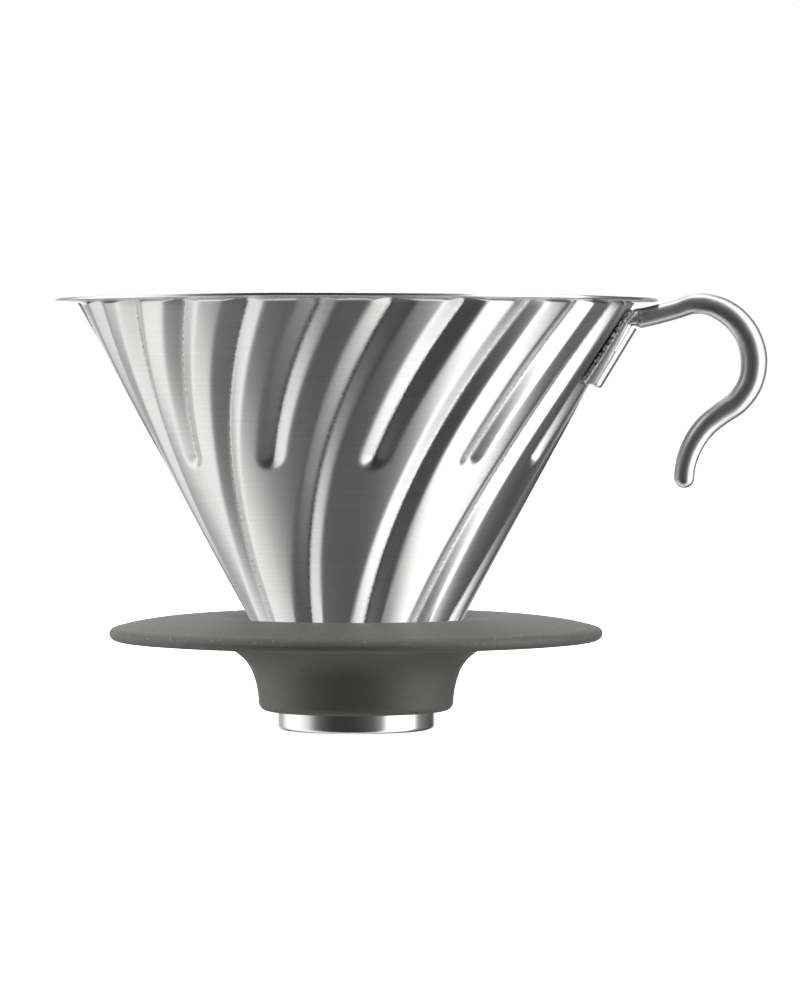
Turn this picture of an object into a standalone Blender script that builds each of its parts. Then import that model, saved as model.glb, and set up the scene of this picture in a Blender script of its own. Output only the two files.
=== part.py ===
"""Pour over dripper: a ribbed steel cone on a steel spout ring, a pull-off silicone base and a hook handle.

Metres, +Z up. The spout ring stands on z = 0, the hook points along +X, and x = 0 is halfway along the
whole length, so the cone's own axis lies a little to the -X side.
"""
import math

import bmesh
import bpy

MM = 0.001

# Cone: its outer surface is a straight cone, radius = CONE_SLOPE * (z + CONE_APEX_DEPTH)
CONE_SLOPE = 0.5405
CONE_APEX_DEPTH = 17.03 * MM
CONE_TOP_Z = 81.7 * MM              # where the wall starts to bend out into the lip
CONE_RING_HEIGHTS = (1.6, 7.0, 13.0, 16.5, 26.0, 38.0, 50.8, 54.3, 62.0, 71.0, 78.0, 80.4, 81.7)  # mm
SHEET = 0.6 * MM                    # sheet thickness of the cone, the spout ring and the bracket
RIM_RADIUS = 58.5 * MM
RIM_Z = 82.9 * MM                   # middle of the lip's rounded edge
RIM_EDGE_ROUNDING = 0.25 * MM
LIP_BEND_RADIUS = 1.3 * MM
LIP_BEND_END = 93                   # degrees from the outward direction, at the end of the bend
LIP_BEND_STEPS = 3

# Ribs: grooves pressed into the cone from outside, alternately long and short
RIB_COUNT = 24
RIB_PITCH = 2 * math.pi / RIB_COUNT
FIRST_LONG_RIB = math.radians(-112.0)   # at the top of the cone, turning from +X towards +Y
RIB_TURN = 648.5                    # degrees of turn per metre below the rim
RIB_TURN_EASE = 1724.0              # how the turn eases off further down, degrees per square metre
RIB_TOP_Z = 82.7 * MM
RIB_DEPTH = 1.5 * MM
RIB_HALF_WIDTH = 2.6 * MM
RIB_FADE_Z = 80.4 * MM              # from here up the ribs fade out
LONG_RIB_FOOT_Z = 13.0 * MM
SHORT_RIB_FOOT_Z = 50.8 * MM
RIB_FOOT_LENGTH = 3.5 * MM
RIB_WIDEST_TURN = math.radians(6.0)

# Spout ring
RING_RADIUS = 15.2 * MM
RING_TOP_Z = 9.4 * MM
RING_HOLE_RADIUS = 12.6 * MM
RING_CORNER = 0.8 * MM
RING_INNER_CORNER = 0.4 * MM

# Silicone base
FLANGE_RADIUS = 47.8 * MM
FLANGE_UNDERSIDE_Z = 17.3 * MM
FLANGE_EDGE_RADIUS = 1.4 * MM
THROAT_Z = 20.7 * MM                # where the flange's top meets the cone
COLLAR_RADIUS = 18.9 * MM
COLLAR_FOOT_Z = 3.6 * MM
COLLAR_FOOT_ROUNDING = 1.7 * MM
# Outlines of the base as radius and z, mm
COLLAR_FLARE = ((19.1, 7.6), (19.6, 9.7), (20.3, 11.7), (21.6, 13.4), (23.1, 14.7), (26.2, 16.4),
                (30.0, 17.3))
FLANGE_TOP = ((42.2, 20.85), (36.2, 21.65), (29.0, 21.95), (25.0, 21.6), (22.0, 20.9))
FIT_GAP = 0.3 * MM                  # left between pieces that touch

# Hook handle, a wire in the plane y = 0
HOOK_REACH = 79.7 * MM              # from the cone's axis to the outside of the hook
HOOK_SIDES = 12
TONGUE_HALF_WIDTH = 1.5 * MM
# The tongue under the bracket: z, lowest and highest point over the wall, mm
TONGUE = ((67.6, 0.35, 1.35), (73.0, 0.35, 1.55), (77.6, 0.35, 1.75), (79.1, 0.5, 1.8))
# The free wire's centre line: distance from the cone's axis, z and half thickness, mm
WIRE_BEND = ((54.4, 79.45, 1.85), (55.6, 79.65, 1.9), (57.4, 80.05, 1.9))
WIRE_ARCH = ((59.7, 80.65, 1.89), (62.4, 81.4, 1.88), (65.4, 82.35, 1.97), (68.6, 82.15, 2.08),
             (71.6, 80.85, 2.3))
WIRE_BOW = ((74.0, 78.9, 2.43), (76.0, 76.0, 2.5), (77.1, 71.8, 2.6), (76.5, 67.2, 2.45), (74.1, 63.5, 2.33))
WIRE_TAIL = ((70.6, 60.95, 2.23), (67.9, 58.75, 2.19), (65.9, 56.1, 2.16), (64.4, 53.0, 2.1),
             (63.7, 50.0, 2.04), (63.6, 48.65, 2.04))
WIRE_TIP_STEPS = (27, 54, 81)       # degrees round the domed tip

# Handle bracket, a plate with a raised tunnel, welded on the cone's +X side
BRACKET_TOP_Z = 78.8 * MM
BRACKET_FOOT_Z = 67.0 * MM
BRACKET_CROWN_TOP = 2.9 * MM        # height of the tunnel over the cone wall
BRACKET_CROWN_FOOT = 2.25 * MM
BRACKET_HALF_WIDTH_TOP = 11.0 * MM
BRACKET_HALF_WIDTH_FOOT = 16.0 * MM
BRACKET_ROWS = 4
WING_STEPS = 4                      # across each wing, so that it follows the wall
TUNNEL_HALF_WIDTH = 3.0 * MM
TUNNEL_BEND_RADIUS = 1.9 * MM       # outside the plate, either side of the tunnel's flat crown
TUNNEL_CROWN_FLAT = 0.9 * MM
TUNNEL_BEND_END = 14                # degrees left to turn where the bend becomes the tunnel's side
TUNNEL_FOOT = 0.6 * MM              # from the tunnel's side to where the wing lies flat

CONE_AXIS_X = (RIM_RADIUS - HOOK_REACH) / 2
HALF_ANGLE = math.atan(CONE_SLOPE)
TURNED_SIDES = 48

STEEL = (0.62, 0.61, 0.60, 1.0)
SILICONE = (0.105, 0.100, 0.088, 1.0)


def clear_scene():
    for old in list(bpy.data.objects):
        bpy.data.objects.remove(old, do_unlink=True)


def make_material(name, colour, metallic, roughness):
    material = bpy.data.materials.new(name)
    material.use_nodes = True
    shader = material.node_tree.nodes["Principled BSDF"]
    shader.inputs["Base Color"].default_value = colour
    shader.inputs["Metallic"].default_value = metallic
    shader.inputs["Roughness"].default_value = roughness
    material.diffuse_color = colour
    return material


def add_object(name, mesh_builder, material):
    """Close and orient a bmesh, and place it as an object whose origin is on the cone's axis."""
    bmesh.ops.remove_doubles(mesh_builder, verts=mesh_builder.verts, dist=0.001 * MM)
    bmesh.ops.triangulate(mesh_builder, faces=mesh_builder.faces)
    bmesh.ops.recalc_face_normals(mesh_builder, faces=mesh_builder.faces)
    mesh = bpy.data.meshes.new(name)
    mesh_builder.to_mesh(mesh)
    mesh_builder.free()
    mesh.shade_smooth()
    mesh.set_sharp_from_angle(angle=math.radians(35))
    mesh.materials.append(material)
    placed = bpy.data.objects.new(name, mesh)
    placed.location = (CONE_AXIS_X, 0, 0)
    bpy.context.scene.collection.objects.link(placed)
    return placed


def skin_rings(mesh_builder, rings, close_rings):
    """Join neighbouring rings of vertices with quads; the last ring joins the first when close_rings."""
    pairs = list(zip(rings, rings[1:]))
    if close_rings:
        pairs.append((rings[-1], rings[0]))
    for lower, upper in pairs:
        count = len(lower)
        for i in range(count):
            j = (i + 1) % count
            mesh_builder.faces.new((lower[i], lower[j], upper[j], upper[i]))


def turned_solid(name, outline, material):
    """Turn a closed outline of (radius, z) about the z axis."""
    mesh_builder = bmesh.new()
    rings = []
    for radius, z in outline:
        ring = []
        for i in range(TURNED_SIDES):
            angle = 2 * math.pi * i / TURNED_SIDES
            ring.append(mesh_builder.verts.new((radius * math.cos(angle), radius * math.sin(angle), z)))
        rings.append(ring)
    skin_rings(mesh_builder, rings, close_rings=True)
    return add_object(name, mesh_builder, material)


def arc(centre_r, centre_z, radius, start, end, steps):
    """Points (r, z) on an arc, with start and end in degrees from the outward direction."""
    points = []
    for i in range(steps + 1):
        angle = math.radians(start + (end - start) * i / steps)
        points.append((centre_r + radius * math.cos(angle), centre_z + radius * math.sin(angle)))
    return points


def cone_radius(z):
    return CONE_SLOPE * (z + CONE_APEX_DEPTH)


def cone_height(radius):
    return radius / CONE_SLOPE - CONE_APEX_DEPTH


def smooth_step(value, low, high):
    t = min(max((value - low) / (high - low), 0.0), 1.0)
    return t * t * (3 - 2 * t)


def rib_turn(z):
    """How far a rib has turned about the axis at height z, in radians."""
    below = RIB_TOP_Z - z
    return -math.radians(RIB_TURN * below - RIB_TURN_EASE * below * below)


def rib_depth(z, is_long):
    """Depth of a rib's crease at height z: it fades in under the lip and out at its foot."""
    foot = LONG_RIB_FOOT_Z if is_long else SHORT_RIB_FOOT_Z
    fade_in = 1.0 - smooth_step(z, RIB_FADE_Z, CONE_TOP_Z)
    return RIB_DEPTH * fade_in * smooth_step(z, foot, foot + RIB_FOOT_LENGTH)


def cone_ring(mesh_builder, z, inset):
    """One ring of the cone wall: four vertices to each rib, edge, crease, edge and plain wall."""
    radius = cone_radius(z)
    half_turn = min(RIB_HALF_WIDTH / radius, RIB_WIDEST_TURN)
    ring = []
    for rib in range(RIB_COUNT):
        middle = FIRST_LONG_RIB + rib * RIB_PITCH + rib_turn(z)
        depth = rib_depth(z, is_long=rib % 2 == 0)
        stations = ((-half_turn, 0.0), (0.0, depth), (half_turn, 0.0), (RIB_PITCH / 2, 0.0))
        for offset, dent in stations:
            angle = middle + offset
            r = radius - dent - inset
            ring.append(mesh_builder.verts.new((r * math.cos(angle), r * math.sin(angle), z)))
    return ring


def lip_ring(mesh_builder, radius, z):
    """A plain ring of the lip, on the same stations as the cone's top ring."""
    half_turn = RIB_HALF_WIDTH / cone_radius(CONE_TOP_Z)
    ring = []
    for rib in range(RIB_COUNT):
        middle = FIRST_LONG_RIB + rib * RIB_PITCH + rib_turn(CONE_TOP_Z)
        for offset in (-half_turn, 0.0, half_turn, RIB_PITCH / 2):
            angle = middle + offset
            ring.append(mesh_builder.verts.new((radius * math.cos(angle), radius * math.sin(angle), z)))
    return ring


def make_cone_body(material):
    """The pressed cone: outer skin upwards, round the lip, and back down the inner skin."""
    heights = [z * MM for z in CONE_RING_HEIGHTS]
    mesh_builder = bmesh.new()
    rings = [cone_ring(mesh_builder, z, 0.0) for z in heights]
    bend_start = 180 - math.degrees(HALF_ANGLE)
    centre_r = cone_radius(CONE_TOP_Z) + LIP_BEND_RADIUS * math.cos(HALF_ANGLE)
    centre_z = CONE_TOP_Z - LIP_BEND_RADIUS * math.sin(HALF_ANGLE)
    edge = SHEET / 2
    lip = arc(centre_r, centre_z, LIP_BEND_RADIUS, bend_start, LIP_BEND_END, LIP_BEND_STEPS)[1:]
    lip += [(RIM_RADIUS - RIM_EDGE_ROUNDING, RIM_Z - edge), (RIM_RADIUS, RIM_Z),
            (RIM_RADIUS - RIM_EDGE_ROUNDING, RIM_Z + edge)]
    lip += arc(centre_r, centre_z, LIP_BEND_RADIUS + SHEET, LIP_BEND_END, bend_start, LIP_BEND_STEPS)[:-1]
    rings += [lip_ring(mesh_builder, radius, z) for radius, z in lip]
    inset = SHEET / math.cos(HALF_ANGLE)
    rings += [cone_ring(mesh_builder, z, inset) for z in reversed(heights)]
    skin_rings(mesh_builder, rings, close_rings=True)
    return add_object("cone_body", mesh_builder, material)


def make_spout_ring(material):
    """A drawn sleeve round the cone's foot, its lower edge turned in to a flat standing face."""
    inner = RING_RADIUS - SHEET
    outline = [(RING_RADIUS, RING_TOP_Z)]
    outline += arc(RING_RADIUS - RING_CORNER, RING_CORNER, RING_CORNER, 0, -90, 4)
    outline += [(RING_HOLE_RADIUS, 0.0), (RING_HOLE_RADIUS, SHEET)]
    outline += arc(inner - RING_INNER_CORNER, SHEET + RING_INNER_CORNER, RING_INNER_CORNER, -90, 0, 2)
    outline += [(inner, RING_TOP_Z)]
    return turned_solid("spout_ring", outline, material)


def make_silicone_base(material):
    """A flange to rest on a mug or server and a collar that grips the spout ring and the cone."""
    gap = FIT_GAP / math.cos(HALF_ANGLE)
    bore = RING_RADIUS + FIT_GAP
    outline = [(bore, COLLAR_FOOT_Z)]
    outline += arc(COLLAR_RADIUS - COLLAR_FOOT_ROUNDING, COLLAR_FOOT_Z + COLLAR_FOOT_ROUNDING,
                   COLLAR_FOOT_ROUNDING, -90, 0, 3)
    outline += [(radius * MM, z * MM) for radius, z in COLLAR_FLARE]
    outline += arc(FLANGE_RADIUS - FLANGE_EDGE_RADIUS, FLANGE_UNDERSIDE_Z + FLANGE_EDGE_RADIUS,
                   FLANGE_EDGE_RADIUS, -90, 70, 5)
    outline += [(radius * MM, z * MM) for radius, z in FLANGE_TOP]
    outline += [(cone_radius(THROAT_Z) + gap, THROAT_Z), (bore, cone_height(bore - gap))]
    return turned_solid("silicone_base", outline, material)


def hook_stations():
    """The wire's centre line as (x, z, half thickness), from its tongue on the wall to its tip."""
    stations = []
    for z, low, high in TONGUE:
        middle = (low + high) / 2 * MM
        stations.append((cone_radius(z * MM) + middle * math.cos(HALF_ANGLE),
                         z * MM - middle * math.sin(HALF_ANGLE), (high - low) / 2 * MM))
    for station in WIRE_BEND + WIRE_ARCH + WIRE_BOW + WIRE_TAIL:
        stations.append(tuple(value * MM for value in station))
    return stations


def make_handle_hook(material):
    """A polished wire: a flattened tongue in the bracket, an arch under the lip and an open hook."""
    stations = hook_stations()
    mesh_builder = bmesh.new()
    rings = []

    def add_ring(x, z, direction, half_thick, half_wide):
        ring = []
        for i in range(HOOK_SIDES):
            angle = 2 * math.pi * i / HOOK_SIDES
            out = half_thick * math.cos(angle)
            side = half_wide * math.sin(angle)
            ring.append(mesh_builder.verts.new((x + out * direction[1], side, z - out * direction[0])))
        rings.append(ring)

    last = len(stations) - 1
    for i, (x, z, half) in enumerate(stations):
        before = stations[max(i - 1, 0)]
        after = stations[min(i + 1, last)]
        run = math.hypot(after[0] - before[0], after[1] - before[1])
        direction = ((after[0] - before[0]) / run, (after[1] - before[1]) / run)
        half_wide = TONGUE_HALF_WIDTH if i < len(TONGUE) else half
        add_ring(x, z, direction, half, half_wide)
    for degrees in WIRE_TIP_STEPS:
        angle = math.radians(degrees)
        ahead = half * math.sin(angle)
        add_ring(x + ahead * direction[0], z + ahead * direction[1], direction,
                 half * math.cos(angle), half * math.cos(angle))
    skin_rings(mesh_builder, rings, close_rings=False)
    mesh_builder.faces.new(rings[0])
    mesh_builder.faces.new(rings[-1])
    return add_object("handle_hook", mesh_builder, material)


def bracket_outline(crown, wing):
    """Half of the plate's section as (side, height over the wall), from the crown out and back inside."""
    low, high = FIT_GAP, FIT_GAP + SHEET
    foot = TUNNEL_HALF_WIDTH + TUNNEL_FOOT
    bend_height = crown - TUNNEL_BEND_RADIUS
    half = [(0.0, crown)]
    half += arc(TUNNEL_CROWN_FLAT, bend_height, TUNNEL_BEND_RADIUS, 90, TUNNEL_BEND_END, 4)
    across = [foot + (wing - foot) * step / WING_STEPS for step in range(WING_STEPS + 1)]
    half += [(side, high) for side in across]
    half += [(side, low) for side in reversed(across)] + [(TUNNEL_HALF_WIDTH - SHEET, low)]
    half += arc(TUNNEL_CROWN_FLAT, bend_height, TUNNEL_BEND_RADIUS - SHEET, TUNNEL_BEND_END, 90, 3)
    half += [(0.0, crown - SHEET)]
    return half


def make_handle_bracket(material):
    """The welded plate: two wings that follow the wall and a tunnel over the wire's tongue."""
    mesh_builder = bmesh.new()
    rings = []
    for row in range(BRACKET_ROWS):
        t = row / (BRACKET_ROWS - 1)
        wall_z = BRACKET_TOP_Z + (BRACKET_FOOT_Z - BRACKET_TOP_Z) * t
        crown = BRACKET_CROWN_TOP + (BRACKET_CROWN_FOOT - BRACKET_CROWN_TOP) * t
        wing = BRACKET_HALF_WIDTH_TOP + (BRACKET_HALF_WIDTH_FOOT - BRACKET_HALF_WIDTH_TOP) * t
        half = bracket_outline(crown, wing)
        outline = half + [(-side, height) for side, height in reversed(half[1:-1])]
        ring = []
        for side, height in outline:
            angle = side / cone_radius(wall_z)
            r = cone_radius(wall_z) + height * math.cos(HALF_ANGLE)
            z = wall_z - height * math.sin(HALF_ANGLE)
            ring.append(mesh_builder.verts.new((r * math.cos(angle), r * math.sin(angle), z)))
        rings.append(ring)
    skin_rings(mesh_builder, rings, close_rings=False)
    mesh_builder.faces.new(rings[0])
    mesh_builder.faces.new(rings[-1])
    return add_object("handle_bracket", mesh_builder, material)


def main():
    clear_scene()
    brushed = make_material("brushed_steel", STEEL, 1.0, 0.28)
    ring_steel = make_material("ring_steel", STEEL, 1.0, 0.2)
    wire_steel = make_material("wire_steel", STEEL, 1.0, 0.12)
    bracket_steel = make_material("bracket_steel", STEEL, 1.0, 0.2)
    silicone = make_material("silicone", SILICONE, 0.0, 0.6)
    make_cone_body(brushed)
    make_spout_ring(ring_steel)
    make_silicone_base(silicone)
    make_handle_hook(wire_steel)
    make_handle_bracket(bracket_steel)


main()
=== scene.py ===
"""Pour over dripper: fine surfaces, materials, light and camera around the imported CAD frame."""
import math

import bpy
import numpy as np
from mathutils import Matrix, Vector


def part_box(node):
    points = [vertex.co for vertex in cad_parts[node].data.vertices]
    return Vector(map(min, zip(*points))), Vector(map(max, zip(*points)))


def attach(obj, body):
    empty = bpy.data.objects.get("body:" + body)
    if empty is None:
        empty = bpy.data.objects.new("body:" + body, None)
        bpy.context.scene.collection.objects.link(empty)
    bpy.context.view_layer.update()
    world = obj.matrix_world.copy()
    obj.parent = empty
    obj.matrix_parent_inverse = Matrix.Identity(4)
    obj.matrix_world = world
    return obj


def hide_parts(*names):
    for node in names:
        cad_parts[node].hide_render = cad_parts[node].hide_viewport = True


MM = 0.001
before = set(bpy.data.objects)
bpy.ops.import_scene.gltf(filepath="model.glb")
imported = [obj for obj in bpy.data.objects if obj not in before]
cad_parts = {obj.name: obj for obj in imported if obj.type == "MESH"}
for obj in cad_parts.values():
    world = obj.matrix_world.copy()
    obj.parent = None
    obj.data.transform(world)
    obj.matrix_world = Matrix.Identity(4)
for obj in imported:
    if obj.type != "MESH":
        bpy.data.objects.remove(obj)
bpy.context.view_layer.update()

# ---------------------------------------------------------------- sizes read from the frame
cone_low, cone_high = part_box("cone_body")
ring_low, ring_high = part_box("spout_ring")
base_low, base_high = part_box("silicone_base")

AXIS_X = (cone_low.x + cone_high.x) / 2
RIM_RADIUS = (cone_high.x - cone_low.x) / 2
CONE_FOOT_Z = cone_low.z
RIM_TOP_Z = cone_high.z
RING_RADIUS = (ring_high.x - ring_low.x) / 2
RING_TOP_Z = ring_high.z
FLANGE_RADIUS = (base_high.x - base_low.x) / 2
COLLAR_FOOT_Z = base_low.z
FLANGE_CREST_Z = base_high.z

# ---------------------------------------------------------------- sizes shared with the CAD
SHEET = 0.6 * MM
GAP = 0.3 * MM                      # between pieces
CONE_SLOPE = 0.5405                 # radius gained per height
CONE_APEX_DEPTH = 17.03 * MM        # of the cone's apex below the floor
HALF_ANGLE = math.atan(CONE_SLOPE)
CONE_TOP_Z = 81.7 * MM
LIP_FILLET = 1.3 * MM

RIB_COUNT = 24
RIB_PITCH = 2 * math.pi / RIB_COUNT
FIRST_LONG_RIB = math.radians(-112.0)
RIB_TURN = 648.5                    # degrees about the axis per metre of height, at the top
RIB_TURN_EASE = 1724.0              # by how much the turning slows lower down, in degrees per square metre
RIB_TOP_Z = 82.7 * MM
SHORT_RIB_END_Z = 53.2 * MM
LONG_RIB_END_Z = 14.5 * MM
RIB_FLANK_SLOPE = 0.46
RIB_HALF_WIDTH_LOW = 2.75 * MM
RIB_HALF_WIDTH_TOP = 3.55 * MM
RIB_WIDENS_FROM_Z = 50.0 * MM
RIB_WIDENS_TO_Z = 78.0 * MM
WALL_PLAIN_BELOW_Z = 9.0 * MM
WALL_RIBBED_ABOVE_Z = 13.0 * MM

# ---------------------------------------------------------------- finer shapes of the looks
RIB_SHOULDER = 0.32 * MM            # rounding where a rib's flank meets the wall
RIB_CREASE = 0.10 * MM              # rounding at the bottom of a rib
# width of the painted shade and the rough bump along each rib's crease
CREASE_SHADE_WIDTH = 0.38 * MM
FINE_ROWS_Z = 50.0 * MM             # the rows of the cone's mesh are closer above this height
BEND_START = 180 - math.degrees(HALF_ANGLE)     # the lip's bend, in degrees from the outward direction
BEND_END = 93
BEND_FADE = 12                      # the ribs have run out this many degrees before the bend's end

STEEL_TONE = (0.66, 0.656, 0.648, 1)
WHITE = (1, 1, 1, 1)


# ---------------------------------------------------------------- mesh helpers
def mesh_object(name, points, faces, body, material, replaced, slot, sharp=40):
    """A piece that rides on a body and stands for a CAD node; edges over the sharp angle stay crisp."""
    mesh = bpy.data.meshes.new(name)
    mesh.from_pydata(np.asarray(points).reshape(-1, 3).tolist(), [], faces)
    mesh.validate()
    mesh.shade_smooth()
    mesh.set_sharp_from_angle(angle=math.radians(sharp))
    mesh.materials.append(material)
    piece = bpy.data.objects.new(name, mesh)
    bpy.context.scene.collection.objects.link(piece)
    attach(piece, body)
    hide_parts(replaced)
    return piece


def mark_points(piece, name, values):
    """Give a piece's points a number each."""
    attribute = piece.data.attributes.new(name, "FLOAT", "POINT")
    attribute.data.foreach_set("value", np.ravel(values))


def ring_faces(rows, columns, close_rows=False):
    """Quads between rings of points, where a point's index is row * columns + column."""
    faces = []
    for i in range(rows if close_rows else rows - 1):
        following = (i + 1) % rows
        for j in range(columns):
            k = (j + 1) % columns
            faces.append((i * columns + j, i * columns + k, following * columns + k, following * columns + j))
    return faces


def capped_faces(rows, columns):
    """Quads between rings of points, and a face over the first ring and over the last."""
    last = (rows - 1) * columns
    return ring_faces(rows, columns) + [tuple(range(columns - 1, -1, -1)), tuple(range(last, last + columns))]


def arc(centre_r, centre_z, radius, start, end, steps):
    """Points of an arc from one angle to another, in degrees from the outward direction."""
    angles = np.radians(np.linspace(start, end, steps + 1))
    return [(centre_r + radius * math.cos(a), centre_z + radius * math.sin(a)) for a in angles]


def spline(points, samples):
    """Centripetal Catmull-Rom curve through rows of numbers, evenly sampled between each pair."""
    pts = np.asarray(points, float)
    pts = np.vstack([2 * pts[0] - pts[1], pts, 2 * pts[-1] - pts[-2]])
    out = []
    for i in range(1, len(pts) - 2):
        p0, p1, p2, p3 = pts[i - 1:i + 3]
        gaps = [np.linalg.norm(b[:2] - a[:2]) ** 0.5 for a, b in ((p0, p1), (p1, p2), (p2, p3))]
        t0, t1 = 0.0, gaps[0]
        t2 = t1 + gaps[1]
        t3 = t2 + gaps[2]
        for t in np.linspace(t1, t2, samples, endpoint=False):
            a1 = (t1 - t) / (t1 - t0) * p0 + (t - t0) / (t1 - t0) * p1
            a2 = (t2 - t) / (t2 - t1) * p1 + (t - t1) / (t2 - t1) * p2
            a3 = (t3 - t) / (t3 - t2) * p2 + (t - t2) / (t3 - t2) * p3
            b1 = (t2 - t) / (t2 - t0) * a1 + (t - t0) / (t2 - t0) * a2
            b2 = (t3 - t) / (t3 - t1) * a2 + (t - t1) / (t3 - t1) * a3
            out.append((t2 - t) / (t2 - t1) * b1 + (t - t1) / (t2 - t1) * b2)
    out.append(pts[-2])
    return np.array(out)


def smooth_step(value, low, high):
    t = np.clip((value - low) / (high - low), 0.0, 1.0)
    return t * t * (3 - 2 * t)


def turned(name, outline, body, material, segments, replaced, slot, **facts):
    """Turn a closed outline of (radius, z) about the cone's axis."""
    outline = np.asarray(outline, float)
    angles = np.linspace(0, 2 * math.pi, segments, endpoint=False)
    radius = outline[:, 0][:, None]
    points = np.stack([AXIS_X + radius * np.cos(angles), radius * np.sin(angles),
                       np.repeat(outline[:, 1][:, None], segments, 1)], -1)
    faces = ring_faces(len(outline), segments, close_rows=True)
    return mesh_object(name, points, faces, body, material, replaced, slot, **facts)


# ---------------------------------------------------------------- node helpers
class Nodes:
    """A small wrapper to build a node tree."""

    def __init__(self, tree):
        self.tree = tree

    def add(self, kind, **settings):
        """A new node; a setting goes to the input of that name, or else to the node itself."""
        node = self.tree.nodes.new(kind)
        for key, value in settings.items():
            if key in node.inputs:
                node.inputs[key].default_value = value
            else:
                setattr(node, key, value)
        return node

    def link(self, output, target):
        self.tree.links.new(output, target)

    def math(self, operation, *values):
        """A Math node, whose values are numbers or other nodes' outputs."""
        node = self.add("ShaderNodeMath", operation=operation)
        for socket, value in zip(node.inputs, values):
            if hasattr(value, "default_value"):
                self.link(value, socket)
            else:
                socket.default_value = value
        return node.outputs[0]

    def remap(self, value, low, high, to_low=0.0, to_high=1.0, **settings):
        """Turn the range from low to high into another, with no values outside it."""
        node = self.add("ShaderNodeMapRange", **settings)
        self.link(value, node.inputs["Value"])
        for key, number in (("From Min", low), ("From Max", high), ("To Min", to_low), ("To Max", to_high)):
            node.inputs[key].default_value = number
        return node.outputs["Result"]

    def split(self, vector):
        node = self.add("ShaderNodeSeparateXYZ")
        self.link(vector, node.inputs[0])
        return node.outputs

    def noise(self, vector, scale, detail, roughness=0.5):
        node = self.add("ShaderNodeTexNoise", Scale=scale, Detail=detail, Roughness=roughness)
        self.link(vector, node.inputs["Vector"])
        return node.outputs["Fac"]

    def scaled(self, vector, factors):
        node = self.add("ShaderNodeVectorMath", operation="MULTIPLY")
        self.link(vector, node.inputs[0])
        node.inputs[1].default_value = factors
        return node.outputs[0]


class Surface(Nodes):
    """The node tree of a new material."""

    def __init__(self, name):
        self.material = bpy.data.materials.new(name)
        self.material.use_nodes = True
        super().__init__(self.material.node_tree)
        self.shader = self.tree.nodes["Principled BSDF"]

    def set(self, **settings):
        """Constants of the shader, with underscores for the spaces in their names."""
        for key, value in settings.items():
            self.shader.inputs[key.replace("_", " ")].default_value = value

    def feed(self, key, output):
        self.link(output, self.shader.inputs[key])

    def place(self):
        """Object coordinates, moved so that the cone's axis is at the origin."""
        coordinates = self.add("ShaderNodeTexCoord")
        shift = self.add("ShaderNodeVectorMath", operation="SUBTRACT")
        self.link(coordinates.outputs["Object"], shift.inputs[0])
        shift.inputs[1].default_value = (AXIS_X, 0, 0)
        return shift.outputs[0]

    def turned_place(self, across, around):
        """Coordinates that change slowly round the cone's axis and quickly up it."""
        x, y, z = self.split(self.place())
        angle = self.math("ARCTAN2", y, x)
        join = self.add("ShaderNodeCombineXYZ")
        self.link(self.math("MULTIPLY", self.math("COSINE", angle), around), join.inputs[0])
        self.link(self.math("MULTIPLY", self.math("SINE", angle), around), join.inputs[1])
        self.link(self.math("MULTIPLY", z, across), join.inputs[2])
        return join.outputs[0]

    def attribute(self, name, output="Fac"):
        return self.add("ShaderNodeAttribute", attribute_name=name).outputs[output]

    def mix(self, factor, first, second):
        """Mix two colours, each a constant or another node's output."""
        node = self.add("ShaderNodeMix", data_type="RGBA")
        self.link(factor, node.inputs["Factor"])
        for key, colour in (("A", first), ("B", second)):
            if hasattr(colour, "default_value"):
                self.link(colour, node.inputs[key])
            else:
                node.inputs[key].default_value = colour
        return node.outputs["Result"]

    def bump(self, height, strength, distance, under=None):
        """A bump, on top of another one or straight on the surface."""
        node = self.add("ShaderNodeBump", Strength=strength, Distance=distance)
        self.link(height, node.inputs["Height"])
        if under:
            self.link(under, node.inputs["Normal"])
        return node.outputs[0]

    def brush_round_axis(self, amount):
        """Stretch the highlights as brushing round the upright axis does."""
        self.set(Anisotropic=amount, Anisotropic_Rotation=0.25)
        self.feed("Tangent", self.add("ShaderNodeTangent", direction_type="RADIAL", axis="Z").outputs[0])


# ---------------------------------------------------------------- materials
def brushed_steel():
    """Circular brushing, faint smears, and painted shade along the creases: dark grainy lines, with a rough
    bump there.

    The point attributes of the cone say where its creases and its cut and tightly bent edges are, and its
    groove attribute holds (distance across a rib, height, a number for the rib).
    """
    s = Surface("brushed_steel_fine")
    lines = s.noise(s.turned_place(across=9000.0, around=2.2), scale=1.0, detail=3.0, roughness=0.7)
    broad = s.noise(s.turned_place(across=1500.0, around=1.6), scale=1.0, detail=2.0, roughness=0.6)
    streak = s.math("ADD", s.math("MULTIPLY", lines, 0.60), s.math("MULTIPLY", broad, 0.40))
    smears = s.noise(s.place(), scale=55.0, detail=3.0, roughness=0.55)
    along_groove = s.scaled(s.attribute("groove", "Vector"), (3200.0, 1500.0, 1.0))
    grit = s.noise(along_groove, scale=1.0, detail=3.0, roughness=0.65)
    crease = s.attribute("crease")

    clean = s.mix(s.remap(streak, 0.32, 0.68), (0.58, 0.579, 0.574, 1), (0.70, 0.698, 0.692, 1))
    # painted shade: the creases are darkened nearly to black, broken into grainy lines by noise
    painted_crease_shade = s.math("MULTIPLY", crease, s.remap(grit, 0.45, 0.58, 0.0, 0.65))
    s.feed("Base Color", s.mix(painted_crease_shade, clean, (0.16, 0.158, 0.155, 1)))
    rough = s.math("ADD", s.remap(streak, 0.3, 0.7, 0.35, 0.43), s.remap(smears, 0.35, 0.65, -0.015, 0.015))
    smoother = s.math("MULTIPLY", s.attribute("cut_edge"), 0.22)
    s.feed("Roughness", s.math("SUBTRACT", rough, smoother))
    s.set(Metallic=1.0)
    s.brush_round_axis(1.0)
    brushing = s.bump(streak, strength=0.14, distance=0.02 * MM)
    pressed = s.math("MULTIPLY", grit, crease)
    s.feed("Normal", s.bump(pressed, strength=0.6, distance=0.2 * MM, under=brushing))
    return s.material


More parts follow.
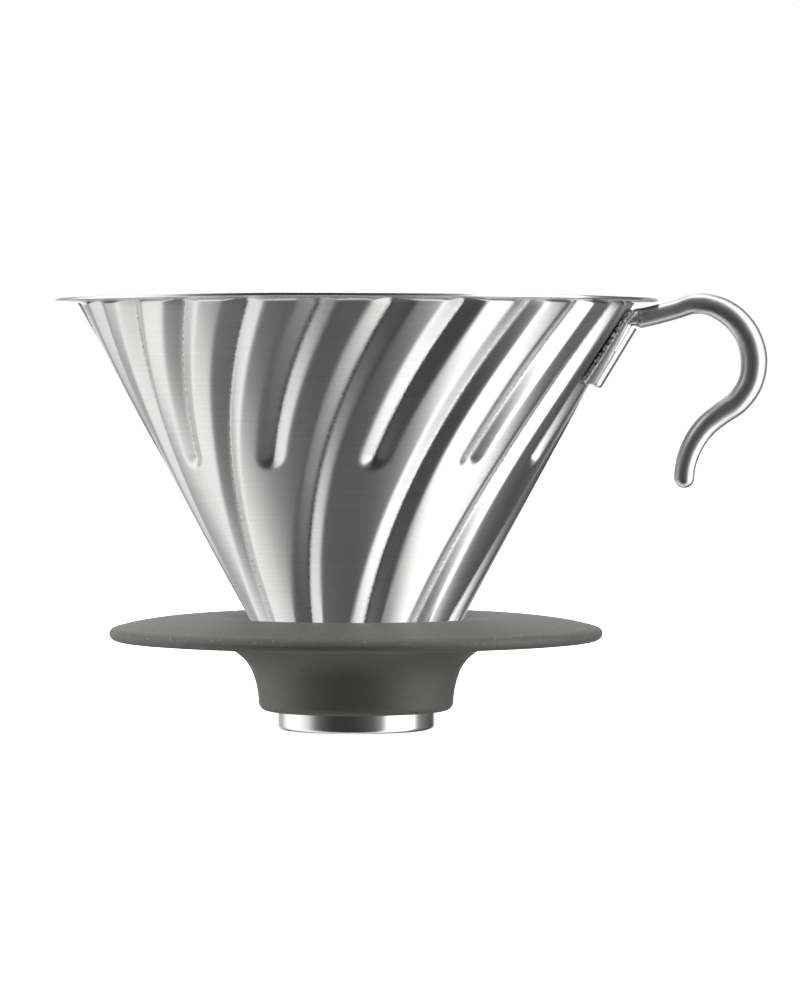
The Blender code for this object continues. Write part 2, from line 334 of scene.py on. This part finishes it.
def polished_steel(name, roughness, marks):
    """Satin polished steel with faint wear; where the crease attribute is set, along the welded edges, the
    steel is rougher and near-black.
    """
    s = Surface(name)
    wear = s.noise(s.place(), scale=420.0, detail=4.0, roughness=0.6)
    grit = s.noise(s.place(), scale=1900.0, detail=3.0, roughness=0.7)
    weld = s.attribute("crease")
    rough = s.remap(wear, 0.35, 0.7, roughness, roughness + marks)
    s.feed("Roughness", s.math("ADD", rough, s.math("MULTIPLY", weld, 0.2)))
    # near-black colour along the bracket's welded edges, broken up by grainy noise
    dark_seam = s.math("MULTIPLY", weld, s.remap(grit, 0.46, 0.64, 1.0, 0.72))
    s.feed("Base Color", s.mix(dark_seam, STEEL_TONE, (0.04, 0.038, 0.036, 1)))
    s.set(Metallic=1.0)
    worn = s.bump(wear, strength=0.03, distance=0.01 * MM)
    welded = s.math("MULTIPLY", grit, weld)
    s.feed("Normal", s.bump(welded, strength=0.45, distance=0.1 * MM, under=worn))
    return s.material


def turned_steel():
    """The spout ring: a satin turned finish."""
    s = Surface("ring_steel_fine")
    lines = s.noise(s.turned_place(across=12000.0, around=1.5), scale=1.0, detail=2.0, roughness=0.6)
    s.feed("Roughness", s.remap(lines, 0.3, 0.7, 0.20, 0.27))
    s.set(Base_Color=STEEL_TONE, Metallic=1.0)
    s.brush_round_axis(0.7)
    s.feed("Normal", s.bump(lines, strength=0.08, distance=0.02 * MM))
    return s.material


def matt_silicone():
    """Moulded silicone: dark warm grey, a fine dry texture and pale dust, most of it where it faces up."""
    s = Surface("silicone_fine")
    place = s.place()
    cloud = s.noise(place, scale=60.0, detail=4.0, roughness=0.6)
    grain = s.noise(place, scale=2600.0, detail=3.0, roughness=0.7)
    dust = s.add("ShaderNodeTexVoronoi", Scale=1500.0)
    s.link(place, dust.inputs["Vector"])
    speck = s.remap(dust.outputs["Distance"], 0.10, 0.26, 1.0, 0.0)
    picked = s.remap(s.noise(place, scale=700.0, detail=1.0), 0.46, 0.58)
    upward = s.split(s.add("ShaderNodeNewGeometry").outputs["Normal"])["Z"]
    settled = s.remap(upward, -0.2, 0.6, 0.25, 1.0)
    dusty = s.math("MULTIPLY", s.math("MULTIPLY", s.math("MULTIPLY", speck, picked), settled), 0.75)
    clean = s.mix(s.remap(cloud, 0.3, 0.7), (0.098, 0.096, 0.086, 1), (0.118, 0.116, 0.106, 1))
    s.feed("Base Color", s.mix(dusty, clean, (0.42, 0.415, 0.40, 1)))
    s.feed("Roughness", s.remap(grain, 0.3, 0.7, 0.50, 0.62))
    s.set(Specular_IOR_Level=0.55, Sheen_Weight=0.12, Sheen_Roughness=0.5)
    s.feed("Normal", s.bump(grain, strength=0.25, distance=0.05 * MM))
    return s.material


def pale_floor():
    s = Surface("pale_floor")
    s.feed("Roughness", s.remap(s.noise(s.place(), scale=8.0, detail=2.0), 0.3, 0.7, 0.78, 0.80))
    s.set(Base_Color=(0.86, 0.86, 0.86, 1), Emission_Color=WHITE, Emission_Strength=0.8)
    return s.material


# ---------------------------------------------------------------- cone
def cone_radius(z):
    return CONE_SLOPE * (z + CONE_APEX_DEPTH)


def rib_turn(z):
    drop = RIB_TOP_Z - z
    return -np.radians(RIB_TURN * drop - RIB_TURN_EASE * drop * drop)


def rib_away(offset, z, is_long):
    """Distance from a rib's crease, on the wall, at an angular offset from its middle and a height z."""
    end_z = LONG_RIB_END_Z if is_long else SHORT_RIB_END_Z
    held = np.maximum(z, end_z)
    turn_rate = np.radians(RIB_TURN - 2 * RIB_TURN_EASE * (RIB_TOP_Z - held))
    lean = np.arctan(cone_radius(held) * turn_rate * math.cos(HALF_ANGLE))
    sideways = cone_radius(z) * offset
    beyond = (z - held) / math.cos(HALF_ANGLE)
    past_end = np.abs(z - held) > 0
    across = np.where(past_end, sideways, sideways * np.cos(lean))
    return np.sqrt(across ** 2 + beyond ** 2)


def rib_dent(away, z):
    """Depth of the pressed surface at a distance from the crease and a height z."""
    widened = smooth_step(z, RIB_WIDENS_FROM_Z, RIB_WIDENS_TO_Z)
    half_width = RIB_HALF_WIDTH_LOW + (RIB_HALF_WIDTH_TOP - RIB_HALF_WIDTH_LOW) * widened
    inside = half_width - np.sqrt(away ** 2 + RIB_CREASE ** 2)
    return RIB_FLANK_SLOPE * 0.5 * (inside + np.sqrt(inside ** 2 + RIB_SHOULDER ** 2))


def rib_columns(per_side):
    """Offsets from a rib's middle across one pitch, crowded at the crease."""
    crowding = 1.45
    steps = np.arange(-per_side, per_side) / per_side
    return np.sign(steps) * np.abs(steps) ** crowding * RIB_PITCH / 2


def make_cone(material):
    """The pressed sheet: up the outside, round the lip and down the inside, with every rib on both."""
    offsets = rib_columns(14)
    per_rib = len(offsets)
    columns = per_rib * RIB_COUNT
    middles = FIRST_LONG_RIB + np.repeat(np.arange(RIB_COUNT), per_rib) * RIB_PITCH
    own_offset = np.tile(offsets, RIB_COUNT)
    is_long = np.repeat(np.arange(RIB_COUNT) % 2 == 0, per_rib)

    def away_at(z):
        return np.where(is_long, rib_away(own_offset, z, True), rib_away(own_offset, z, False))

    # how close a point is to a crease, which sets where the steel gets its painted crease shade
    def crease_shade_mask(away):
        return np.exp(-(away / CREASE_SHADE_WIDTH) ** 2)

    def placed(angle, radius, z):
        return np.stack([AXIS_X + radius * np.cos(angle), radius * np.sin(angle), z], -1)

    def wall(heights, inset):
        """Rows of points along the wall, and how close each point is to a crease."""
        rows, marks = [], []
        for z in heights:
            away = away_at(z)
            depth = rib_dent(away, z) * smooth_step(z, WALL_PLAIN_BELOW_Z, WALL_RIBBED_ABOVE_Z)
            radius = cone_radius(z) - depth / math.cos(HALF_ANGLE) - inset
            rows.append(placed(middles + own_offset + rib_turn(z), radius, np.full(columns, z)))
            marks.append(crease_shade_mask(away))
        return np.array(rows), np.array(marks)

    top_angle = middles + own_offset + rib_turn(CONE_TOP_Z)
    top_away = away_at(CONE_TOP_Z)
    top_dent = rib_dent(top_away, CONE_TOP_Z)
    bend_r = cone_radius(CONE_TOP_Z) + LIP_FILLET * math.cos(HALF_ANGLE)
    bend_z = CONE_TOP_Z - LIP_FILLET * math.sin(HALF_ANGLE)

    def bend(bend_radius, turns):
        """Rows round the bend between the wall and the lip, in which the ribs run out."""
        rows, marks = [], []
        for turn in turns:
            fade = smooth_step(turn, BEND_END + BEND_FADE, BEND_START)
            reach = bend_radius + top_dent * fade
            phi = math.radians(turn)
            rows.append(placed(top_angle, bend_r + reach * math.cos(phi), bend_z + reach * math.sin(phi)))
            marks.append(crease_shade_mask(top_away) * fade)
        return np.array(rows), np.array(marks)

    def lip(outline):
        """Rows round the lip, which waves by a few hundredths of a millimetre."""
        ripple = 0.04 * MM * np.sin(3 * top_angle + 0.7) + 0.03 * MM * np.sin(7 * top_angle + 2.1)
        rows = []
        for radius, z in outline:
            share = smooth_step(radius, bend_r, RIM_RADIUS)
            rows.append(placed(top_angle, np.full(columns, radius), z + ripple * share))
        return np.array(rows)

    up = np.concatenate([np.linspace(CONE_FOOT_Z, FINE_ROWS_Z, 100, endpoint=False),
                         np.linspace(FINE_ROWS_Z, CONE_TOP_Z, 110, endpoint=False)])
    down = np.concatenate([np.linspace(CONE_TOP_Z, FINE_ROWS_Z, 70, endpoint=False)[1:],
                           np.linspace(FINE_ROWS_Z, CONE_FOOT_Z, 60)])
    outside, outside_crease_shade = wall(up, 0.0)
    inside, inside_crease_shade = wall(down, SHEET / math.cos(HALF_ANGLE))
    bend_turns = np.linspace(BEND_START, BEND_END, 14)
    under_bend, under_crease_shade = bend(LIP_FILLET, bend_turns)
    over_bend, over_crease_shade = bend(LIP_FILLET + SHEET, bend_turns[::-1])

    half_sheet = SHEET / 2
    lip_z = RIM_TOP_Z - half_sheet - 0.05 * MM      # the lip's middle, with room above for its waves
    corner = 0.16 * MM
    corner_r = RIM_RADIUS - corner
    flat_r = RIM_RADIUS - 0.6 * MM
    rim = [(flat_r, lip_z - half_sheet)]
    rim += arc(corner_r, lip_z - half_sheet + corner, corner, -90, 0, 5)
    rim += arc(corner_r, lip_z + half_sheet - corner, corner, 0, 90, 5)
    rim += [(flat_r, lip_z + half_sheet)]
    rim_rows = lip(rim)

    points = np.concatenate([outside, under_bend, rim_rows, over_bend, inside])
    marks = np.concatenate([outside_crease_shade, under_crease_shade, np.zeros(rim_rows.shape[:2]), over_crease_shade, inside_crease_shade])
    faces = ring_faces(len(points), columns, close_rows=True)
    piece = mesh_object("cone_wall", points, faces, "cone", material, "cone_body", "brushed_steel", sharp=50)
    mark_points(piece, "crease", marks)

    row_radius = cone_radius(points[:, :, 2].mean(1))[:, None]
    across = np.broadcast_to(own_offset * row_radius, marks.shape)
    rib_number = np.broadcast_to(np.repeat(np.arange(RIB_COUNT) * 7.0, per_rib), marks.shape)
    groove = np.stack([across, points[:, :, 2], rib_number], -1)
    piece.data.attributes.new("groove", "FLOAT_VECTOR", "POINT").data.foreach_set("vector", groove.ravel())

    bend_start = len(outside) + 2
    rim_start = len(outside) + len(under_bend) + 1
    cut_edge = np.zeros(len(points))
    cut_edge[bend_start:rim_start - 1] = 0.8
    cut_edge[rim_start - 1] = 0.4
    cut_edge[rim_start:rim_start + len(rim) - 2] = 1.0
    mark_points(piece, "cut_edge", np.repeat(cut_edge, columns))


# ---------------------------------------------------------------- spout ring
def make_ring(material):
    corner = 0.8 * MM
    inner_corner = 0.4 * MM
    top_corner = 0.15 * MM
    inner = RING_RADIUS - SHEET
    turned_in = 12.6 * MM
    outline = arc(RING_RADIUS - top_corner, RING_TOP_Z - top_corner, top_corner, 90, 0, 3)
    outline += arc(RING_RADIUS - corner, corner, corner, 0, -90, 10)
    outline += arc(turned_in + SHEET / 2, SHEET / 2, SHEET / 2, -90, -270, 8)
    outline += arc(inner - inner_corner, SHEET + inner_corner, inner_corner, -90, 0, 5)
    outline += [(inner, RING_TOP_Z)]
    turned("spout_sleeve", outline, "cone", material, 192, "spout_ring", "ring_steel")


# ---------------------------------------------------------------- silicone base
def make_base(material):
    """One moulding: up the collar's outside, out and over the flange, and down the bore."""
    bore = RING_RADIUS + GAP
    throat = (20.7 * MM, 20.7 * MM)
    shoulder_z = (bore - GAP / math.cos(HALF_ANGLE)) / CONE_SLOPE - CONE_APEX_DEPTH
    bore_corner = 0.4 * MM
    collar_corner = 1.7 * MM
    edge_corner = 1.4 * MM
    flange_under = 17.3 * MM
    collar = [(18.9, 5.3), (19.0, 6.6), (19.25, 8.2), (19.7, 9.9), (20.3, 11.5), (21.4, 13.2), (22.9, 14.6),
              (24.9, 15.9), (27.3, 16.85), (30.5, 17.3)]
    crown = [(46.9, 19.75), (45.6, 20.1), (42.2, 20.85), (36.5, 21.6), (31.5, 21.92)]
    dip = [(26.0, 21.72), (23.6, 21.2), (22.0, 20.86)]
    collar, crown, dip = ([(r * MM, z * MM) for r, z in stretch] for stretch in (collar, crown, dip))
    crest = (28.6 * MM, FLANGE_CREST_Z)
    edge_top = [(FLANGE_RADIUS, flange_under + edge_corner), (FLANGE_RADIUS - 0.25 * MM, 19.35 * MM)]

    outline = arc(bore + bore_corner, COLLAR_FOOT_Z + bore_corner, bore_corner, 180, 270, 4)
    outline += arc(collar[0][0] - collar_corner, COLLAR_FOOT_Z + collar_corner, collar_corner, -90, 0, 9)
    outline += [tuple(p) for p in spline(collar, 5)[1:]]
    outline += [(36 * MM, flange_under), (42 * MM, flange_under)]
    outline += arc(FLANGE_RADIUS - edge_corner, flange_under + edge_corner, edge_corner, -90, 0, 8)
    outline += [tuple(p) for p in spline(edge_top + crown + [crest] + dip, 6)[1:]]
    outline += [throat, (bore, shoulder_z)]
    skirt = turned("silicone_skirt", outline, "base", material, 256, "silicone_base", "silicone", sharp=50)
    skirt.visible_glossy = False


# ---------------------------------------------------------------- hook handle
def over_wall(z, low, high):
    """A station of the tongue, which lies on the wall at height z from low to high above it."""
    middle = (low + high) / 2
    return cone_radius(z) + middle * math.cos(HALF_ANGLE), z - middle * math.sin(HALF_ANGLE), (high - low) / 2


def make_hook(material):
    """One wire along stations of (distance from the cone's axis, z, half thickness)."""
    half_width = 1.5 * MM
    samples = 10
    tongue = [over_wall(67.6 * MM, 0.35 * MM, 1.35 * MM), over_wall(73.0 * MM, 0.35 * MM, 1.55 * MM),
              over_wall(77.6 * MM, 0.35 * MM, 1.75 * MM), over_wall(79.1 * MM, 0.5 * MM, 1.8 * MM)]
    bend = [(54.4, 79.45, 1.85), (55.6, 79.65, 1.9), (57.4, 80.05, 1.9)]
    arch = [(59.7, 80.65, 1.89), (62.4, 81.4, 1.88), (65.4, 82.35, 1.97), (68.6, 82.15, 2.08),
            (71.6, 80.85, 2.3)]
    bow = [(74.0, 78.9, 2.43), (76.0, 76.0, 2.5), (77.1, 71.8, 2.6), (76.5, 67.2, 2.45), (74.1, 63.5, 2.33)]
    tail = [(70.6, 60.95, 2.23), (67.9, 58.75, 2.19), (65.9, 56.1, 2.16), (64.4, 53.0, 2.1),
            (63.7, 50.0, 2.04), (63.6, 48.65, 2.04)]
    free = [tuple(v * MM for v in station) for station in bend + arch + bow + tail]
    line = spline(tongue + free, samples)
    wide = np.full(len(line), half_width)
    tongue_rows = samples * (len(tongue) - 1)
    wide[tongue_rows:] = np.maximum(line[tongue_rows:, 2], half_width)
    sides = 48
    angles = np.linspace(0, 2 * math.pi, sides, endpoint=False)
    run = np.gradient(line[:, :2], axis=0)
    run /= np.linalg.norm(run, axis=1)[:, None]

    def section(x, z, half, side, dx, dz):
        """An oval ring of points across the wire's run."""
        out = half * np.cos(angles)
        return np.stack([AXIS_X + x + out * dz, side * np.sin(angles), z - out * dx], -1)

    rows = [section(*station, side, *way) for station, side, way in zip(line, wide, run)]
    end_x, end_z, end_half = line[-1]
    dx, dz = run[-1]
    for angle in np.radians(np.linspace(9, 84, 9)):
        ahead = end_half * math.sin(angle)
        half = end_half * math.cos(angle)
        rows.append(section(end_x + ahead * dx, end_z + ahead * dz, half, half, dx, dz))
    faces = capped_faces(len(rows), sides)
    mesh_object("hook_wire", rows, faces, "cone", material, "handle_hook", "wire_steel", sharp=60)


# ---------------------------------------------------------------- handle bracket
def plate_piece(outline_at, heights):
    """Sweep a closed section of (side, height over the wall) down the cone's wall and close both ends."""
    rows = []
    for t, wall_z in heights:
        outline = np.array(outline_at(t))
        angle = outline[:, 0] / cone_radius(wall_z)
        radius = cone_radius(wall_z) + outline[:, 1] * math.cos(HALF_ANGLE)
        rows.append(np.stack([AXIS_X + radius * np.cos(angle), radius * np.sin(angle),
                              wall_z - outline[:, 1] * math.sin(HALF_ANGLE)], -1))
    points = np.array(rows)
    return points.reshape(-1, 3), capped_faces(*points.shape[:2])


def make_bracket(material):
    """A plate with a tunnel over the wire's tongue; its sides are ragged where they are welded down.

    A section is given by t, which is 0 at the top of the tunnel and 1 at the plate's foot.
    """
    top_z, foot_z = 78.8 * MM, 67.0 * MM
    ear_z = 81.2 * MM
    ear_gap = 0.02 * MM
    seam_gap = 0.02 * MM
    high = GAP + SHEET
    bend_r = 1.9 * MM
    bend_side = 0.9 * MM
    wall_angle = 14
    tunnel = 3.0 * MM
    tunnel_inside = tunnel - 0.75 * MM
    foot = 3.6 * MM
    rounding = 0.4 * MM
    rounding_start = 1 - rounding / (top_z - foot_z)
    half_width_top, half_width_foot = 11.0 * MM, 16.0 * MM
    crown_top, crown_foot = 2.9 * MM, 2.25 * MM
    mark_reach = 0.65 * MM
    mark_blur = 0.25 * MM

    def edge_side(t):
        return half_width_top + (half_width_foot - half_width_top) * t

    def ragged_side(t):
        ragged = 0.16 * math.sin(61 * t) + 0.12 * math.sin(97 * t + 1.0) + 0.10 * math.sin(173 * t + 2.0)
        return edge_side(t) + ragged * MM

    def rounded_off(t):
        """How far the top of the plate has dropped where its foot edge is rounded."""
        turn = min(max((t - rounding_start) / (1 - rounding_start), 0.0), 1.0)
        return 0.9 * rounding * (1 - math.sqrt(1 - turn * turn))

    def wing(t, start):
        """The wing's top from start to its edge, its welded edge, and its underside back to start."""
        edge = edge_side(t)
        weld = ragged_side(t)
        top = high - rounded_off(t)
        flat_end = edge - 1.6 * MM
        flat = [(start + (flat_end - start) * share, top) for share in (0.25, 0.5, 0.75, 1.0)]
        brow = [(edge - 1.15 * MM, top - 0.02 * MM), (edge - 0.8 * MM, top - 0.08 * MM),
                (edge - 0.5 * MM, top - 0.18 * MM)]
        seam = [(weld - 0.15 * MM, top - 0.38 * MM), (weld + 0.02 * MM, 0.3 * top),
                (weld + 0.3 * MM, seam_gap), (weld - 0.4 * MM, seam_gap)]
        under = [(edge - 0.8 * MM, GAP), ((start + edge) / 2, GAP)]
        return flat + brow + seam + under

    def mirrored(half):
        return [(-side, height) for side, height in reversed(half)]

    def whole(t):
        """The tunnel and both wings."""
        crown = crown_top + (crown_foot - crown_top) * t
        drop = rounded_off(t)
        top = high - drop
        half = [(0.0, crown - drop), (0.5 * MM, crown - drop)]
        half += arc(bend_side, crown - bend_r, bend_r - drop, 90, wall_angle, 12)
        half += [(tunnel - drop, top + 0.12 * MM), (foot - 0.3 * MM, top), (foot, top)]
        half += wing(t, foot)
        half += [(foot, GAP), (tunnel_inside, GAP)]
        half += arc(bend_side, crown - bend_r, bend_r - SHEET, wall_angle, 90, 10)
        half += [(0.0, crown - SHEET)]
        return half + mirrored(half[1:-1])

    def ear(t):
        """The wing alone, beside the place where the wire leaves the tunnel."""
        start = foot - 1.0 * MM
        return [(start, high)] + wing(t, start) + [(start, GAP)]

    def other_ear(t):
        return mirrored(ear(t))

    fall = 1 / (foot_z - top_z)
    foot_rows = foot_z + rounding * (1 - np.sin(np.linspace(0, math.pi / 2, 7)))
    main_z = np.concatenate([np.linspace(top_z, foot_rows[0], 70)[:-1], foot_rows])
    main_rows = [((z - top_z) * fall, z) for z in main_z]
    ear_rows = [((z - top_z) * fall, z) for z in np.linspace(ear_z, top_z + ear_gap, 15)]
    points, faces, marks = [], [], []
    for outline_at, heights in ((whole, main_rows), (ear, ear_rows), (other_ear, ear_rows)):
        part_points, part_faces = plate_piece(outline_at, heights)
        start = sum(len(p) for p in points)
        points.append(part_points)
        faces += [tuple(start + i for i in face) for face in part_faces]
        for t, _ in heights:
            from_axis = np.abs(np.array(outline_at(t))[:, 0])
            marks.append(np.clip((from_axis - edge_side(t) + mark_reach) / mark_blur, 0, 1))
    piece = mesh_object("bracket_plate", np.concatenate(points), faces, "cone", material, "handle_bracket",
                        "bracket_steel")
    mark_points(piece, "crease", np.concatenate(marks))


# ---------------------------------------------------------------- light, floor and camera
# The studio tent's panels, as (azimuth in degrees, level from 0 to 255 that steel shows there). The
# azimuth runs from the front, -Y, towards the right, +X. The first list stands at the height of the
# horizon and the second lies low, towards the floor.
HORIZON_PANELS = [
    (-180, 222), (-172, 240), (-162, 204), (-150, 155), (-141, 162), (-132, 208), (-124, 238), (-108, 262),
    (-90, 245), (-74, 200), (-67, 144), (-60, 100), (-53, 80), (-34, 56), (-10, 55), (6, 64), (14, 72),
    (24, 86), (36, 123), (42, 182), (47, 262), (60, 330), (88, 330), (95, 262), (102, 155), (110, 115),
    (122, 98), (136, 80), (150, 78), (157, 105), (163, 160), (171, 205), (180, 222)]
LOW_PANELS = [
    (-180, 212), (-172, 226), (-164, 190), (-157, 150), (-149, 108), (-141, 130), (-132, 168), (-124, 214),
    (-112, 258), (-100, 240), (-90, 220), (-80, 198), (-72, 162), (-66, 120), (-58, 80), (-50, 50), (-30, 32),
    (0, 30), (20, 32), (31, 46), (38, 84), (44, 130), (50, 200), (58, 262), (90, 266), (97, 240), (104, 178),
    (112, 128), (122, 88), (134, 74), (149, 70), (157, 98), (163, 160), (172, 205), (180, 212)]
BRIGHTEST_PANEL = 330
STEEL_REFLECTANCE = 0.60
DISPLAY_GAMMA = 2.2


def panel_strength(shown):
    """The strength of a panel that steel shows at this level of 0 to 255."""
    return (shown / 255) ** DISPLAY_GAMMA / STEEL_REFLECTANCE


def studio_world():
    """Soft light from a tent whose bright and dark panels stand round the object and show in the steel."""
    world = bpy.data.worlds.new("studio")
    bpy.context.scene.world = world
    world.use_nodes = True
    n = Nodes(world.node_tree)
    n.tree.nodes.clear()
    x, y, z = n.split(n.add("ShaderNodeTexCoord").outputs["Generated"])
    azimuth = n.math("ARCTAN2", x, n.math("MULTIPLY", y, -1.0))
    turn = n.math("ADD", n.math("DIVIDE", azimuth, 2 * math.pi), 0.5)
    brightest = panel_strength(BRIGHTEST_PANEL)

    def panels(stops):
        curve = n.add("ShaderNodeFloatCurve")
        n.link(turn, curve.inputs["Value"])
        line = curve.mapping.curves[0]
        places = [(degrees / 360 + 0.5, panel_strength(shown) / brightest) for degrees, shown in stops]
        line.points[0].location = places[0]
        line.points[-1].location = places[-1]
        for place in places[1:-1]:
            line.points.new(*place)
        for point in line.points:
            point.handle_type = "AUTO_CLAMPED"
        curve.mapping.update()
        return n.math("MULTIPLY", curve.outputs[0], brightest)

    def band(value, start, stop):
        return n.remap(value, start, stop, interpolation_type="SMOOTHSTEP")

    def rise(start, stop):
        """0 below one elevation, 1 above the other, in degrees."""
        return band(z, math.sin(math.radians(start)), math.sin(math.radians(stop)))

    def blend(factor, when_0, when_1):
        return n.math("ADD", when_0, n.math("MULTIPLY", factor, n.math("SUBTRACT", when_1, when_0)))

    def darkened(level, panel, amount):
        return n.math("MULTIPLY", level, n.math("SUBTRACT", 1.0, n.math("MULTIPLY", panel, amount)))

    seen = blend(rise(-52, -28), panels(LOW_PANELS), panels(HORIZON_PANELS))
    overhead = n.math("MULTIPLY", rise(70, 80), 2.2)
    underfoot = n.math("MULTIPLY", n.math("SUBTRACT", 1.0, rise(-86, -66)), 0.40)
    seen = n.math("ADD", n.math("ADD", seen, overhead), underfoot)

    aside = n.math("ABSOLUTE", x)
    behind_below = n.math("MULTIPLY", band(y, 0.62, 0.78), band(z, -0.36, -0.44))
    far_left = n.math("MULTIPLY", band(y, 0.80, 0.88), band(x, -0.02, -0.10))
    steep = band(n.math("ADD", z, n.math("MULTIPLY", aside, 0.95)), 0.02, -0.08)
    seen = darkened(seen, behind_below, 0.95)
    seen = darkened(seen, n.math("MULTIPLY", steep, far_left), 0.7)

    soft_boxes = n.math("MULTIPLY", band(aside, 0.74, 1.0), rise(-25, 5))
    more_on_left = n.math("ADD", 2.6, n.math("MULTIPLY", band(x, 0.3, -0.3), 0.6))
    sides = n.math("MULTIPLY", soft_boxes, more_on_left)
    top_light = n.math("MULTIPLY", rise(58, 76), 8.0)
    dome = n.math("ADD", n.math("ADD", 0.28, sides), top_light)

    rays = n.add("ShaderNodeLightPath")
    tent = n.add("ShaderNodeBackground", Color=WHITE)
    n.link(blend(rays.outputs["Is Diffuse Ray"], seen, dome), tent.inputs["Strength"])
    backdrop = n.add("ShaderNodeBackground", Color=WHITE, Strength=1.05)
    mix = n.add("ShaderNodeMixShader")
    n.link(rays.outputs["Is Camera Ray"], mix.inputs[0])
    n.link(tent.outputs[0], mix.inputs[1])
    n.link(backdrop.outputs[0], mix.inputs[2])
    n.link(mix.outputs[0], n.add("ShaderNodeOutputWorld").inputs[0])


def make_floor(material):
    """A pale floor that the steel doesn't mirror."""
    radius = 6.0
    angles = np.linspace(0, 2 * math.pi, 96, endpoint=False)
    points = [(radius * math.cos(a), radius * math.sin(a), 0.0) for a in angles]
    mesh = bpy.data.meshes.new("floor")
    mesh.from_pydata(points, [], [tuple(range(len(points)))])
    mesh.materials.append(material)
    floor = bpy.data.objects.new("floor", mesh)
    bpy.context.scene.collection.objects.link(floor)
    floor.visible_glossy = False
    floor.visible_diffuse = False


def make_camera():
    distance = 0.864
    eye_z = 64.4 * MM
    aim_right = math.radians(0.565)
    aim_down = math.radians(1.330)
    data = bpy.data.cameras.new("camera")
    data.sensor_width = 36.0
    data.lens = 160.56
    data.clip_start = 0.05
    data.clip_end = 50.0
    camera = bpy.data.objects.new("camera", data)
    bpy.context.scene.collection.objects.link(camera)
    camera.location = (AXIS_X, -distance, eye_z)
    camera.rotation_euler = (math.pi / 2 - aim_down, 0, -aim_right)
    bpy.context.scene.camera = camera


make_cone(brushed_steel())
make_ring(turned_steel())
make_base(matt_silicone())
make_hook(polished_steel("wire_steel_fine", 0.36, 0.06))
make_bracket(polished_steel("bracket_steel_fine", 0.26, 0.08))
studio_world()
make_floor(pale_floor())
make_camera()
bpy.context.scene.view_settings.view_transform = "Standard"
